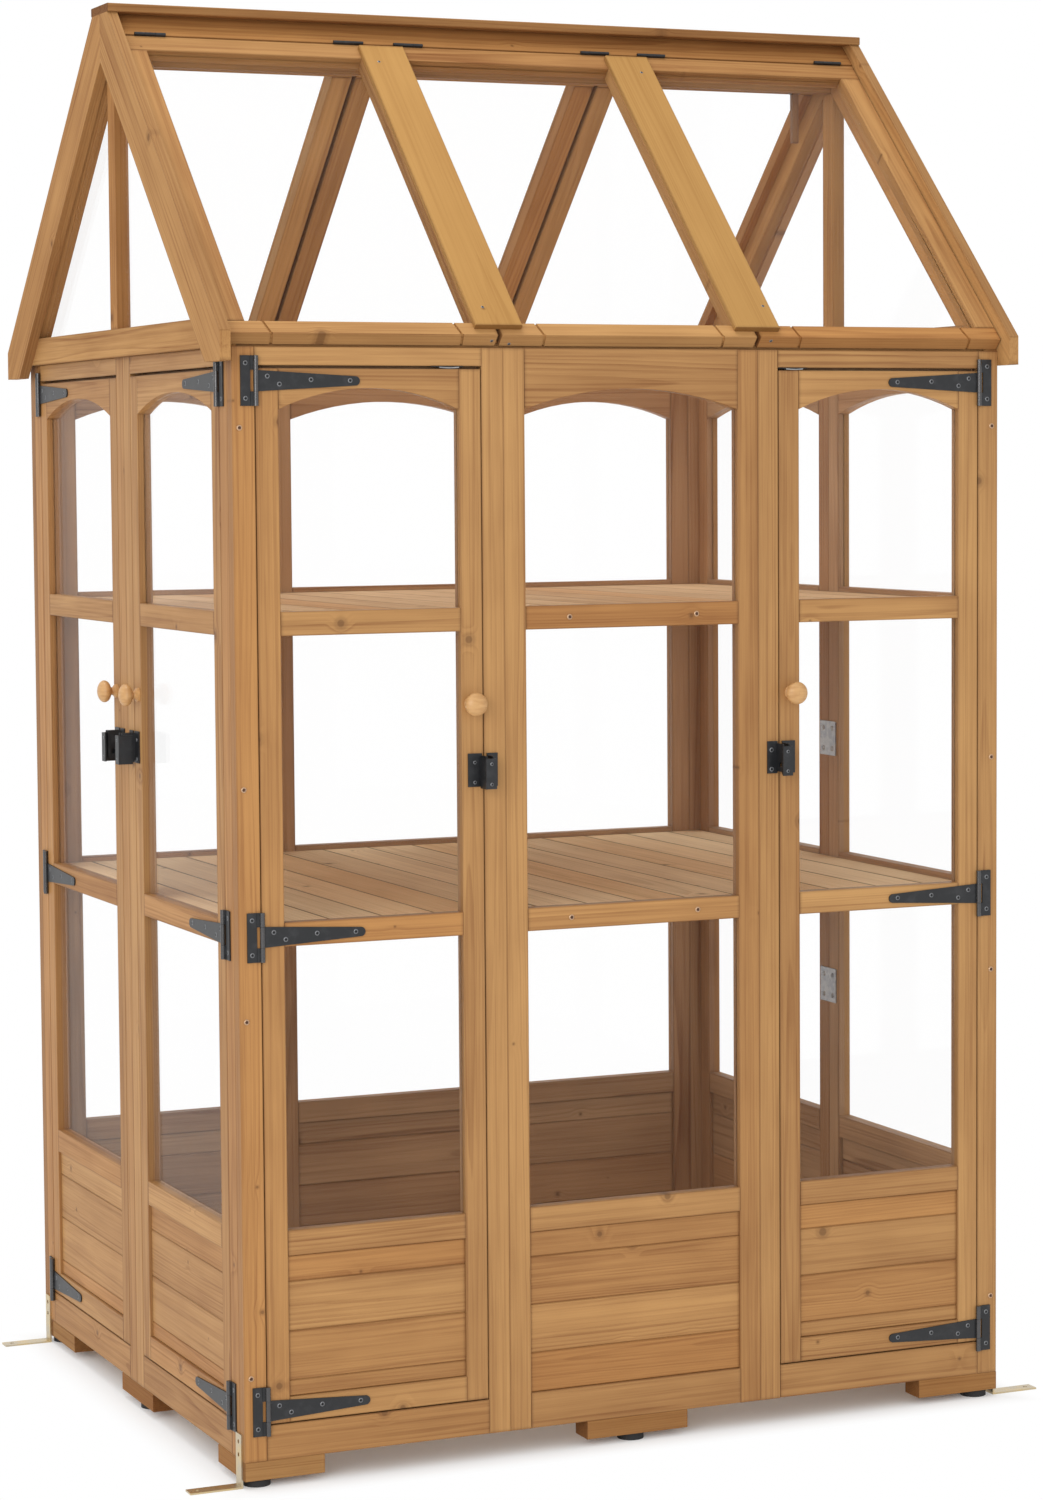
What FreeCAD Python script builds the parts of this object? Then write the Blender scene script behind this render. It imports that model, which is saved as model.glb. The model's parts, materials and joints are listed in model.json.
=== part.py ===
import FreeCAD
import Part
import math
import os

# Small wooden greenhouse with glazed walls, four doors and three roof vents. Sizes are in millimetres.
# While building, X runs along the front, Y goes in from the front face and Z goes up from the posts' feet.

# Wall frames
front_module = 392.0
side_module = 458.0
frame_thick = 20.0
stile_wide = 32.0
wall_high = 1505.0
ground_drop = 37.0
header_wide = 25.0
sill_high = 312.5
sill_wide = 34.5
middle_rail_high = 732.0
middle_rail_wide = 32.0
upper_rail_high = 1151.0
upper_rail_wide = 32.5
wall_bottom_rail = 48.0
back_post_left = 33.5
back_post_right = 40.0
wood_ease = 0.8
cut_past = 1.0
width = 3 * front_module
depth = 2 * side_module + 2 * frame_thick
header_low = wall_high - header_wide
sill_low = sill_high - sill_wide
middle_rail_low = middle_rail_high - middle_rail_wide
upper_rail_low = upper_rail_high - upper_rail_wide

# Boards and panes in the frames
board_first_joint = 106.0
board_pitch = 68.0
board_thick = 10.0
board_back_of_face = 4.0
board_ease = 1.6
pane_thick = 3.0
pane_back_of_face = 8.5
pane_arch_gap = 0.3
pane_ease = 0.2

# Doors
door_gap = 1.5
door_gap_low = 2.0
door_gap_high = 4.0
door_bottom_wide = 34.0
door_head_at_crest = 26.0
arch_rise = 28.5
door_low = wall_bottom_rail + door_gap_low
door_bottom_rail = door_low + door_bottom_wide
door_high = header_low - door_gap_high
arch_crest = door_high - door_head_at_crest
arch_spring = arch_crest - arch_rise
door_stop_thick = 3.5
door_stop_high = 20.0
door_stop_lap = 6.0

# Strap hinges on the doors
strap_above_door_bottom = 18.5
strap_below_rail_top = 17.5
strap_below_door_top = 16.5
knuckle_radius = 3.5
knuckle_gap = 0.3
hinge_pin_radius = 1.7
hinge_bore_radius = 2.0
hinge_plate_thick = 2.2
hinge_leaf_half = 33.5
hinge_leaf_far = 21.7
hinge_leaf_near = 8.0
hinge_web_low = 0.6
hinge_web_high = 3.2
strap_knuckle_half = 14.0
strap_wide_half = 14.2
strap_tip_half = 6.3
strap_start = 1.2
strap_length = 148.0
hinge_pin_out = knuckle_radius + knuckle_gap
leaf_knuckle_start = strap_knuckle_half + knuckle_gap
hinge_levels = [
    door_low + strap_above_door_bottom,
    middle_rail_high - strap_below_rail_top,
    door_high - strap_below_door_top,
]

# Turned door knobs
knob_from_edge = 18.0
knob_level = 1019.0
knob_base_radius = 10.0
knob_base_thick = 3.0
knob_neck_radius = 6.0
knob_neck_out = 9.0
knob_head_radius = 16.0
knob_head_start = 13.0
knob_head_shoulder = 3.0
knob_front_round = 0.9
knob_head_wide_out = 20.0
knob_front_radius = 9.0
knob_out = 28.0

# Flip latches, one plate and ear on the door and one on the frame
front_latch_level = 927.5
side_latch_level = 943.0
latch_plate_half = 23.0
latch_plate_thick = 2.0
latch_plate_far = 19.0
latch_door_plate_far = 23.5
latch_ear_near = 3.0
latch_ear_thick = 2.0
latch_ear_out = 22.0
latch_ear_half = 20.0
latch_pin_out = 11.0
latch_pin_rise = 13.0
latch_pin_radius = 1.7
latch_bore_radius = 2.0
latch_lock_hole_radius = 4.0
latch_lock_hole_out = 14.0
latch_lock_hole_drop = 10.0
latch_frame_ear_near = 3.0
flip_cheek_thick = 1.8
flip_cheek_gap = 0.4
flip_front_gap = 3.2
flip_front_thick = 2.0
flip_past_frame_ear = 2.0
flip_above_pin = 4.0
flip_below_pin = 38.0
flip_inner_out = 6.0
flip_front_out = latch_ear_out + flip_front_gap

# Shelves
shelf_below_rail = 8.0
shelf_board_wide = 78.0
shelf_board_thick = 12.0
shelf_board_seam = 1.0
shelf_edge_gap = 1.0
shelf_board_ease = 1.4
cleat_thick = 20.0
cleat_high = 12.0
cleat_back_of_door = 0.5
shelf_levels = [middle_rail_high - shelf_below_rail, upper_rail_high - shelf_below_rail]

# Roof, set a little to the left of the walls' middle
roof_pitch = 44.6
roof_set_left = 6.0
barge_wide = 74.0
barge_thick = 15.0
barge_tail_out = 33.0
barge_tail_drop = 20.0
barge_inside_out = 6.0
vent_drop = 18.0
vent_thick = 20.0
vent_eave_gap = 0.1
vent_low_end = -34.0
vent_below_ridge = 80.5
vent_side_gap = 1.5
vent_seam = 6.0
vent_stile = 32.0
vent_top_rail = 32.0
vent_bottom_rail = 25.0
vent_pane_drop = 7.0
batten_wide = 70.0
batten_thick = 8.0
batten_ease = 1.2
batten_above_end = 12.0
batten_below_top = 9.8
groove_wide = 4.0
groove_deep = 3.0
groove_from_ends = 58.0
groove_lean = 7.0
rest_gap = 0.3
ridge_cap_below_peak = 35.9
ridge_cap_thick = 12.0
ridge_cap_wide = 80.0
ridge_cap_ease = 1.2
ridge_beam_thick = 20.0
gable_thick = 20.0
gable_rafter_wide = 32.0
gable_tie_high = 40.0
king_post_wide = 32.0
gable_pane_gap = 0.3
roof_left = -roof_set_left - barge_inside_out
roof_right = width - roof_set_left + barge_inside_out
vent_wide = (roof_right - roof_left - 2 * vent_side_gap - 2 * vent_seam) / 3
roof_slant = math.radians(roof_pitch)
ridge_up_slope = depth / 2 / math.cos(roof_slant)
vent_high_end = ridge_up_slope - vent_below_ridge
barge_plane_at_face = wall_high + (vent_drop + vent_thick + vent_eave_gap) / math.cos(roof_slant)
barge_tail_low = wall_high - barge_tail_drop
ridge_cap_low = barge_plane_at_face + ridge_up_slope * math.sin(roof_slant) - ridge_cap_below_peak

# Low strips on top of the front and back walls that close the joint under the roof panels
rest_strip_wide = 12.0
rest_strip_gap = 0.9
rest_strip_high = (frame_thick - rest_strip_wide) * math.tan(roof_slant) - rest_strip_gap

# Small butt hinges of the vents
butt_long = 46.0
butt_from_ends = 44.0
butt_joint = 2.6
butt_leaf_thick = 0.9
butt_leaf_short = 2.0
butt_leaf_set_in = 0.6
butt_tab_overlap = 0.4
butt_knuckle_radius = 2.4
butt_knuckle_gap = 0.4
butt_pin_radius = 1.0
butt_ease = 0.1
butt_bore_radius = 1.3
butt_middle_half = 7.6
butt_side_gap = 0.4

# Feet, blocks under the posts and ground anchors
block_high = 26.0
block_wide = 40.0
block_front_left = 115.0
block_front_right = 131.0
block_side_front = 112.0
block_side_rear = 157.0
block_middle_front = 157.0
block_middle_side = 148.0
foot_radius = 19.0
foot_from_face = 25.0
anchor_wide = 22.0
anchor_from_corner = 9.0
anchor_long = 75.0
anchor_high = 74.0
anchor_thick = 2.5
anchor_hole_radius = 3.0
anchor_foot_hole_out = 62.0
anchor_low_hole = 8.0
anchor_high_hole = 26.0

# Plates and screws on the fixed walls
mend_wide = 50.0
mend_high = 54.0
mend_thick = 2.0
mend_low_level = 518.0
mend_high_level = 911.0
mend_hole_radius = 2.5
mend_hole_from_edge = 11.0
screw_radius = 3.2
screw_proud = 0.6
post_screw_first = 115.0
post_screw_second = 601.0
post_screw_third = 914.0
post_screw_fourth = 1397.0
rail_screw_from_middle = 98.0

# Loose wooden stay that hangs inside the roof on a bent screw
stay_long = 86.0
stay_wide = 9.0
stay_thick = 11.0
stay_hole_from_end = 9.0
stay_pin_radius = 1.8
stay_bore_radius = 2.1
stay_pin_past_side = 2.0
stay_pin_drop = 11.0
stay_from_stile = 25.5
stay_below_top = 20.8
stay_side_gap = 1.0

X_WAY = FreeCAD.Vector(1, 0, 0)
Y_WAY = FreeCAD.Vector(0, 1, 0)
Z_WAY = FreeCAD.Vector(0, 0, 1)
to_origin = FreeCAD.Vector(-width / 2, -depth / 2, ground_drop)
nodes = {}


def save(name, *pieces):
    """Keep the pieces of one named part, moved so that the origin is on the ground under the middle."""
    group = []
    for one in pieces:
        moved = one.copy()
        moved.translate(to_origin)
        group.append(moved)
    nodes[name] = group


def sheet_prism(points, way):
    """A flat outline of straight edges, pushed along a vector."""
    outline = Part.makePolygon(points + [points[0]])
    return Part.Face(outline).extrude(way)


# Corners of a section with eased edges: the end along each of its two ways, and which way to step in from it
EASED_CORNERS = (
    (0, 0, 1, 0),
    (1, 0, -1, 0),
    (1, 0, 0, 1),
    (1, 1, 0, -1),
    (1, 1, -1, 0),
    (0, 1, 1, 0),
    (0, 1, 0, -1),
    (0, 0, 0, 1),
)


def stick(low, high, ease=wood_ease):
    """A straight piece between two corners, its four long edges cut by a small chamfer."""
    size = [high[i] - low[i] for i in range(3)]
    run = size.index(max(size))
    a = (run + 1) % 3
    b = (run + 2) % 3
    points = []
    for at_a, at_b, in_a, in_b in EASED_CORNERS:
        spot = [0.0, 0.0, 0.0]
        spot[run] = low[run]
        spot[a] = (low[a], high[a])[at_a] + in_a * ease
        spot[b] = (low[b], high[b])[at_b] + in_b * ease
        points.append(FreeCAD.Vector(*spot))
    way = [0.0, 0.0, 0.0]
    way[run] = size[run]
    return sheet_prism(points, FreeCAD.Vector(*way))


def plain(low, high):
    """A square-edged block between two corners."""
    corner = FreeCAD.Vector(*low)
    return Part.makeBox(high[0] - low[0], high[1] - low[1], high[2] - low[2], corner)


class Side:
    """One wall or door face: distances along it, in from its outer face, and up."""

    def __init__(self, origin, along, inward):
        self.origin = FreeCAD.Vector(*origin)
        self.along = FreeCAD.Vector(*along)
        self.inward = FreeCAD.Vector(*inward)

    def at(self, a, d, z):
        return self.origin + self.along * a + self.inward * d + Z_WAY * z

    def corners(self, a, d, z):
        one = self.at(a[0], d[0], z[0])
        two = self.at(a[1], d[1], z[1])
        low = [min(one[i], two[i]) for i in range(3)]
        high = [max(one[i], two[i]) for i in range(3)]
        return low, high

    def stick(self, a, d, z, ease=wood_ease):
        low, high = self.corners(a, d, z)
        return stick(low, high, ease)

    def plain(self, a, d, z):
        low, high = self.corners(a, d, z)
        return plain(low, high)

    def arched(self, a, d, spring, crest, straight):
        """A piece with one arched edge between spring and crest, and a straight edge above or below it."""
        first = self.at(a[0], d[0], spring)
        middle = self.at((a[0] + a[1]) / 2, d[0], crest)
        last = self.at(a[1], d[0], spring)
        far = self.at(a[1], d[0], straight)
        near = self.at(a[0], d[0], straight)
        edges = [
            Part.Arc(first, middle, last).toShape(),
            Part.makeLine(last, far),
            Part.makeLine(far, near),
            Part.makeLine(near, first),
        ]
        return Part.Face(Part.Wire(edges)).extrude(self.inward * (d[1] - d[0]))

    def rod(self, radius, length, a, d, z, way):
        return Part.makeCylinder(radius, length, self.at(a, d, z), way)


def boards(side, a, low):
    """Level boards between a bottom rail and the sill, with small bevels that make the joints."""
    edges = [low]
    joint = board_first_joint
    while joint < sill_low:
        if joint > low:
            edges.append(joint)
        joint += board_pitch
    edges.append(sill_low)
    d = (board_back_of_face, board_back_of_face + board_thick)
    return [side.stick(a, d, (edges[i], edges[i + 1]), board_ease) for i in range(len(edges) - 1)]


def panes(side, a):
    """Three panes between the rails; the top one follows the arch."""
    d = (pane_back_of_face, pane_back_of_face + pane_thick)
    low = side.plain(a, d, (sill_high, middle_rail_low))
    middle = side.plain(a, d, (middle_rail_high, upper_rail_low))
    top = side.arched(a, d, arch_spring - pane_arch_gap, arch_crest - pane_arch_gap, upper_rail_high)
    return [low, middle, top]


def cross_rails(side, a):
    """Sill, middle rail and upper rail."""
    levels = [(sill_low, sill_high), (middle_rail_low, middle_rail_high), (upper_rail_low, upper_rail_high)]
    return [side.stick(a, (0.0, frame_thick), z) for z in levels]


def fixed_module(side, start, module):
    """Frame pieces of one glazed module that does not open, and the opening between its stiles."""
    clear = (start + stile_wide, start + module - stile_wide)
    d = (0.0, frame_thick)
    frame = [
        side.stick((start, clear[0]), d, (0.0, wall_high)),
        side.stick((clear[1], start + module), d, (0.0, wall_high)),
        side.stick(clear, d, (0.0, door_low)),
        side.arched(clear, d, arch_spring, arch_crest, wall_high),
    ]
    return frame + cross_rails(side, clear), clear


def door_module(side, start, module):
    """Posts, header and bottom rail round a door opening, and the stop the door's head shuts against."""
    clear = (start + stile_wide, start + module - stile_wide)
    d = (0.0, frame_thick)
    stop_low = door_high - door_stop_lap
    stop_d = (frame_thick, frame_thick + door_stop_thick)
    return [
        side.stick((start, clear[0]), d, (0.0, wall_high)),
        side.stick((clear[1], start + module), d, (0.0, wall_high)),
        side.stick(clear, d, (0.0, wall_bottom_rail)),
        side.stick(clear, d, (header_low, wall_high)),
        side.stick(clear, stop_d, (stop_low, stop_low + door_stop_high)),
    ]


front = Side((0, 0, 0), (1, 0, 0), (0, 1, 0))
back = Side((0, depth, 0), (1, 0, 0), (0, -1, 0))
left = Side((0, frame_thick, 0), (0, 1, 0), (1, 0, 0))
right = Side((width, frame_thick, 0), (0, 1, 0), (-1, 0, 0))

# Walls: doors in the outer front modules and in both left modules, fixed glazing elsewhere. The back wall's
# glazed frames stand between two corner posts.
middle_frame, middle_clear = fixed_module(front, front_module, front_module)
front_frame = door_module(front, 0.0, front_module) + middle_frame
front_frame += door_module(front, 2 * front_module, front_module)
left_frame = door_module(left, 0.0, side_module) + door_module(left, side_module, side_module)
fixed_boards = boards(front, middle_clear, door_low)
fixed_panes = panes(front, middle_clear)
right_frame = []
for i in range(2):
    pieces, clear = fixed_module(right, i * side_module, side_module)
    right_frame += pieces
    fixed_boards += boards(right, clear, door_low)
    fixed_panes += panes(right, clear)
back_frame = []
for a in ((0.0, back_post_left), (width - back_post_right, width)):
    back_frame.append(back.stick(a, (0.0, frame_thick), (0.0, wall_high)))
back_starts = (back_post_left, front_module, 2 * front_module)
back_ends = (front_module, 2 * front_module, width - back_post_right)
for start, end in zip(back_starts, back_ends):
    pieces, clear = fixed_module(back, start, end - start)
    back_frame += pieces
    fixed_boards += boards(back, clear, door_low)
    fixed_panes += panes(back, clear)
rest_x = (roof_left + gable_thick, roof_right - gable_thick)
rest_d = (frame_thick - rest_strip_wide, frame_thick)
rest_z = (wall_high, wall_high + rest_strip_high)
front_frame.append(front.stick(rest_x, rest_d, rest_z))
back_frame.append(back.stick(rest_x, rest_d, rest_z))
save("front_frame", *front_frame)
save("left_frame", *left_frame)
save("right_frame", *right_frame)
save("back_frame", *back_frame)
save("wall_boards", *fixed_boards)
save("wall_panes", *fixed_panes)

# Shelves: boards run from front to back and lie on three cleats.
shelf_front = frame_thick + shelf_edge_gap
shelf_back = depth - frame_thick - shelf_edge_gap
shelf_left = frame_thick + shelf_edge_gap
shelf_right = width - frame_thick - shelf_edge_gap
shelf_full_boards = int((shelf_right - shelf_left) / shelf_board_wide) - 1
end_board = (shelf_right - shelf_left - shelf_full_boards * shelf_board_wide) / 2
seams = [shelf_left, shelf_left + end_board]
for i in range(shelf_full_boards):
    seams.append(seams[-1] + shelf_board_wide)
seams.append(shelf_right)
cleats = []
for name, top in zip(("lower_shelf", "upper_shelf"), shelf_levels):
    low = top - shelf_board_thick
    laid = []
    for i in range(len(seams) - 1):
        near = (seams[i] + shelf_board_seam / 2, shelf_front, low)
        far = (seams[i + 1] - shelf_board_seam / 2, shelf_back, top)
        laid.append(stick(near, far, shelf_board_ease))
    save(name, *laid)
    cleat_left = frame_thick + cleat_back_of_door
    cleat_back = depth - frame_thick - cleat_thick
    for y in (cleat_left, depth / 2 - cleat_thick / 2, cleat_back):
        near = (cleat_left, y, low - cleat_high)
        far = (width - frame_thick, y + cleat_thick, low)
        cleats.append(stick(near, far))
save("shelf_cleats", *cleats)


def door(name, side, wide, latch_level):
    """One glazed door, measured from its hinged edge, with straps, knob, latch plate and latch flip."""
    clear = (stile_wide, wide - stile_wide)
    d = (0.0, frame_thick)
    frame = [
        side.stick((0.0, stile_wide), d, (door_low, door_high)),
        side.stick((clear[1], wide), d, (door_low, door_high)),
        side.stick(clear, d, (door_low, door_bottom_rail)),
        side.arched(clear, d, arch_spring, arch_crest, door_high),
    ]
    save(name + "_frame", *(frame + cross_rails(side, clear)))
    save(name + "_boards", *boards(side, clear, door_bottom_rail))
    save(name + "_panes", *panes(side, clear))
    metal = [strap(side, level) for level in hinge_levels]
    metal.append(latch_ear(side, wide, latch_level))
    save(name + "_ironwork", *metal)
    save(name + "_knob", knob(side, wide - knob_from_edge))
    save(name + "_latch_flip", flip(side, wide, latch_level))


def strap(side, level):
    """Tapering strap with a rounded tip and a bored knuckle on the hinge line."""
    d = -hinge_plate_thick
    tip = strap_length - strap_tip_half
    slope = (strap_wide_half - strap_tip_half) / (tip - strap_start)
    touch = math.atan(slope)
    end_a = tip + strap_tip_half * math.sin(touch)
    end_z = strap_tip_half * math.cos(touch)
    corners = [
        side.at(strap_start, d, level - strap_wide_half),
        side.at(end_a, d, level - end_z),
        side.at(strap_length, d, level),
        side.at(end_a, d, level + end_z),
        side.at(strap_start, d, level + strap_wide_half),
    ]
    edges = [
        Part.makeLine(corners[0], corners[1]),
        Part.Arc(corners[1], corners[2], corners[3]).toShape(),
        Part.makeLine(corners[3], corners[4]),
        Part.makeLine(corners[4], corners[0]),
    ]
    plate = Part.Face(Part.Wire(edges)).extrude(side.inward * hinge_plate_thick)
    low = level - strap_knuckle_half
    high = 2 * strap_knuckle_half
    root = side.plain((-door_gap / 2, strap_start), (-hinge_web_high, -hinge_web_low), (low, low + high))
    barrel = side.rod(knuckle_radius, high, -door_gap / 2, -hinge_pin_out, low, Z_WAY)
    bore = side.rod(hinge_bore_radius, high, -door_gap / 2, -hinge_pin_out, low, Z_WAY)
    return plate.fuse([root, barrel]).cut(bore).removeSplitter()


def hinge_leaf(side, level):
    """Upright leaf on the post with the pin and the two outer knuckles."""
    pin_a = -door_gap / 2
    bottom = level - hinge_leaf_half
    web = (-hinge_web_high, -hinge_web_low)
    plate_z = (bottom, level + hinge_leaf_half)
    plate = side.plain((-hinge_leaf_far, -hinge_leaf_near), (-hinge_plate_thick, 0.0), plate_z)
    parts = []
    high = hinge_leaf_half - leaf_knuckle_start
    for low in (bottom, level + leaf_knuckle_start):
        parts.append(side.rod(knuckle_radius, high, pin_a, -hinge_pin_out, low, Z_WAY))
        parts.append(side.plain((-hinge_leaf_near, pin_a), web, (low, low + high)))
    parts.append(side.rod(hinge_pin_radius, 2 * hinge_leaf_half, pin_a, -hinge_pin_out, bottom, Z_WAY))
    return plate.fuse(parts).removeSplitter()


def knob(side, a):
    """Turned knob: a small base, a hollow neck and a rounded head."""
    profile = [
        (0.0, 0.0),
        (knob_base_radius, 0.0),
        (knob_base_radius, knob_base_thick),
        (knob_neck_radius, knob_neck_out),
        (knob_head_radius - knob_head_shoulder, knob_head_start),
        (knob_head_radius, knob_head_wide_out),
        (knob_front_radius, knob_out - knob_front_round),
        (0.0, knob_out),
    ]
    spots = [side.at(a + r, -out, knob_level) for r, out in profile]
    neck = Part.BSplineCurve()
    neck.interpolate([spots[2], spots[3], spots[4], spots[5], spots[6], spots[7]])
    edges = [
        Part.makeLine(spots[0], spots[1]),
        Part.makeLine(spots[1], spots[2]),
        neck.toShape(),
        Part.makeLine(spots[7], spots[0]),
    ]
    face = Part.Face(Part.Wire(edges))
    return face.revolve(spots[0], side.inward, 360)


def latch_ear(side, wide, level):
    """Latch plate on the door with an ear that stands out and carries the flip's pin."""
    ear_a = (wide - latch_ear_near - latch_ear_thick, wide - latch_ear_near)
    z = (level - latch_plate_half, level + latch_plate_half)
    plate = side.plain((wide - latch_door_plate_far, ear_a[1]), (-latch_plate_thick, 0.0), z)
    ear = side.plain(ear_a, (-latch_ear_out, 0.0), (level - latch_ear_half, level + latch_ear_half))
    start = ear_a[0] - cut_past
    long = latch_ear_thick + 2 * cut_past
    pin_z = level + latch_pin_rise
    bore = side.rod(latch_bore_radius, long, start, -latch_pin_out, pin_z, side.along)
    return plate.fuse(ear).cut(bore).removeSplitter()


def keeper(side, wide, level):
    """Latch plate and ear on the frame; the ear has a hole for a padlock."""
    post = wide + door_gap
    ear_a = (post + latch_frame_ear_near, post + latch_frame_ear_near + latch_ear_thick)
    z = (level - latch_plate_half, level + latch_plate_half)
    plate = side.plain((ear_a[0], post + latch_plate_far), (-latch_plate_thick, 0.0), z)
    ear = side.plain(ear_a, (-latch_ear_out, 0.0), (level - latch_ear_half, level + latch_ear_half))
    start = ear_a[0] - cut_past
    long = latch_ear_thick + 2 * cut_past
    hole_z = level - latch_lock_hole_drop
    hole = side.rod(latch_lock_hole_radius, long, start, -latch_lock_hole_out, hole_z, side.along)
    return plate.fuse(ear).cut(hole).removeSplitter()


def flip(side, wide, level):
    """Turning cover of the latch: a cheek beside the door's ear and a front that laps the frame's ear."""
    pin_z = level + latch_pin_rise
    near_a = wide - latch_ear_near + flip_cheek_gap
    cheek_a = (near_a, near_a + flip_cheek_thick)
    far_a = wide - latch_ear_near - latch_ear_thick - flip_cheek_gap
    outer_a = (far_a - flip_cheek_thick, far_a)
    z = (pin_z - flip_below_pin, pin_z + flip_above_pin)
    front_far = wide + door_gap + latch_frame_ear_near + latch_ear_thick + flip_past_frame_ear
    parts = [
        side.plain((outer_a[0], front_far), (-flip_front_out - flip_front_thick, -flip_front_out), z),
        side.plain(outer_a, (-flip_front_out, -flip_inner_out), z),
        side.rod(latch_pin_radius, cheek_a[1] - outer_a[0], outer_a[0], -latch_pin_out, pin_z, side.along),
    ]
    cheek = side.plain(cheek_a, (-flip_front_out, -flip_inner_out), z)
    return cheek.fuse(parts).removeSplitter()


# Doors: each side starts at the hinged edge and runs towards the latch.
front_door_wide = front_module - 2 * stile_wide - 2 * door_gap
side_door_wide = side_module - 2 * stile_wide - 2 * door_gap
edge = stile_wide + door_gap
front_left = Side((edge, 0, 0), (1, 0, 0), (0, 1, 0))
front_right = Side((width - edge, 0, 0), (-1, 0, 0), (0, 1, 0))
side_front = Side((0, frame_thick + edge, 0), (0, 1, 0), (1, 0, 0))
side_rear = Side((0, depth - frame_thick - edge, 0), (0, -1, 0), (1, 0, 0))
leaves = []
keepers = []
door_list = [
    ("front_left_door", front_left, front_door_wide, front_latch_level),
    ("front_right_door", front_right, front_door_wide, front_latch_level),
    ("side_front_door", side_front, side_door_wide, side_latch_level),
    ("side_rear_door", side_rear, side_door_wide, side_latch_level),
]
for name, side, wide, latch_level in door_list:
    door(name, side, wide, latch_level)
    leaves += [hinge_leaf(side, level) for level in hinge_levels]
    keepers.append(keeper(side, wide, latch_level))
save("latch_keepers", *keepers)


class Slope:
    """One roof slope: distance up the slope and out from the barge boards' top plane."""

    def __init__(self, rear):
        self.rear = rear

    def yz(self, up, out):
        y = up * math.cos(roof_slant) - out * math.sin(roof_slant)
        z = barge_plane_at_face + up * math.sin(roof_slant) + out * math.cos(roof_slant)
        return y, z

    def level(self, z, out):
        """Y where a plane at this height cuts the slope's layer."""
        up = (z - barge_plane_at_face - out * math.cos(roof_slant)) / math.sin(roof_slant)
        return self.yz(up, out)[0]

    def height(self, y, out):
        """Z of the slope's layer at a distance in from the front face."""
        return barge_plane_at_face + y * math.tan(roof_slant) + out / math.cos(roof_slant)

    def spot(self, x, y, z):
        return FreeCAD.Vector(x, depth - y if self.rear else y, z)

    def prism(self, x, outline):
        points = [self.spot(x[0], y, z) for y, z in outline]
        return sheet_prism(points, X_WAY * (x[1] - x[0]))

    def plank(self, x, up, out, ease=wood_ease):
        """A straight piece lying on the slope, with eased long edges."""
        size = (x[1] - x[0], up[1] - up[0], out[1] - out[0])
        if size[0] > size[1]:
            outline = []
            for a, b, da, db in EASED_CORNERS:
                outline.append(self.yz(up[a] + da * ease, out[b] + db * ease))
            return self.prism(x, outline)
        points = []
        for a, b, da, db in EASED_CORNERS:
            y, z = self.yz(up[0], out[b] + db * ease)
            points.append(self.spot(x[a] + da * ease, y, z))
        y0, z0 = self.yz(up[0], 0.0)
        y1, z1 = self.yz(up[1], 0.0)
        return sheet_prism(points, self.spot(0, y1, z1) - self.spot(0, y0, z0))

    def rod(self, radius, x, up, out):
        y, z = self.yz(up, out)
        return Part.makeCylinder(radius, x[1] - x[0], self.spot(x[0], y, z), X_WAY)


front_slope = Slope(False)
rear_slope = Slope(True)
vent_outer = -vent_drop
vent_inner = -vent_drop - vent_thick
vent_starts = [roof_left + vent_side_gap + i * (vent_wide + vent_seam) for i in range(3)]
fascia_low_end = vent_high_end + butt_joint
butt_middle = vent_high_end + butt_joint / 2
butt_knuckle_out = vent_outer + butt_knuckle_radius + butt_knuckle_gap
butt_leaf_high = vent_outer - butt_leaf_set_in


def panel_frame(slope, start):
    """Roof panel frame: rails across the full width with the stiles between them."""
    x = (start, start + vent_wide)
    out = (vent_inner, vent_outer)
    low = slope.plank(x, (vent_low_end, vent_low_end + vent_bottom_rail), out)
    for from_left in (groove_from_ends, vent_wide - groove_from_ends):
        low = low.cut(groove(slope, start + from_left))
    top = slope.plank(x, (vent_high_end - vent_top_rail, vent_high_end), out)
    run = (vent_low_end + vent_bottom_rail, vent_high_end - vent_top_rail)
    left_stile = slope.plank((x[0], x[0] + vent_stile), run, out)
    right_stile = slope.plank((x[1] - vent_stile, x[1]), run, out)
    return [low, top, left_stile, right_stile]


def groove(slope, x):
    """Slanting drip groove over the bottom rail and down its end face."""
    low = slope.yz(vent_low_end - cut_past, vent_outer + cut_past)
    high = slope.yz(vent_low_end + vent_bottom_rail + cut_past, vent_outer + cut_past)
    points = [
        slope.spot(x - groove_lean / 2, high[0], high[1]),
        slope.spot(x - groove_lean / 2 + groove_wide, high[0], high[1]),
        slope.spot(x + groove_lean / 2 + groove_wide, low[0], low[1]),
        slope.spot(x + groove_lean / 2, low[0], low[1]),
    ]
    top = slope.yz(0.0, 0.0)
    deep = slope.yz(0.0, -groove_deep - cut_past)
    way = slope.spot(0, deep[0], deep[1]) - slope.spot(0, top[0], top[1])
    over = sheet_prism(points, way)
    end_out = slope.yz(vent_low_end - cut_past, vent_outer + cut_past)
    end_in = slope.yz(vent_low_end - cut_past, vent_inner - cut_past)
    face = [
        slope.spot(x + groove_lean / 2, end_out[0], end_out[1]),
        slope.spot(x + groove_lean / 2 + groove_wide, end_out[0], end_out[1]),
        slope.spot(x + groove_lean + groove_wide, end_in[0], end_in[1]),
        slope.spot(x + groove_lean, end_in[0], end_in[1]),
    ]
    start = slope.yz(0.0, 0.0)
    up = slope.yz(groove_deep + cut_past, 0.0)
    down = sheet_prism(face, slope.spot(0, up[0], up[1]) - slope.spot(0, start[0], start[1]))
    return over.fuse(down)


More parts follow.
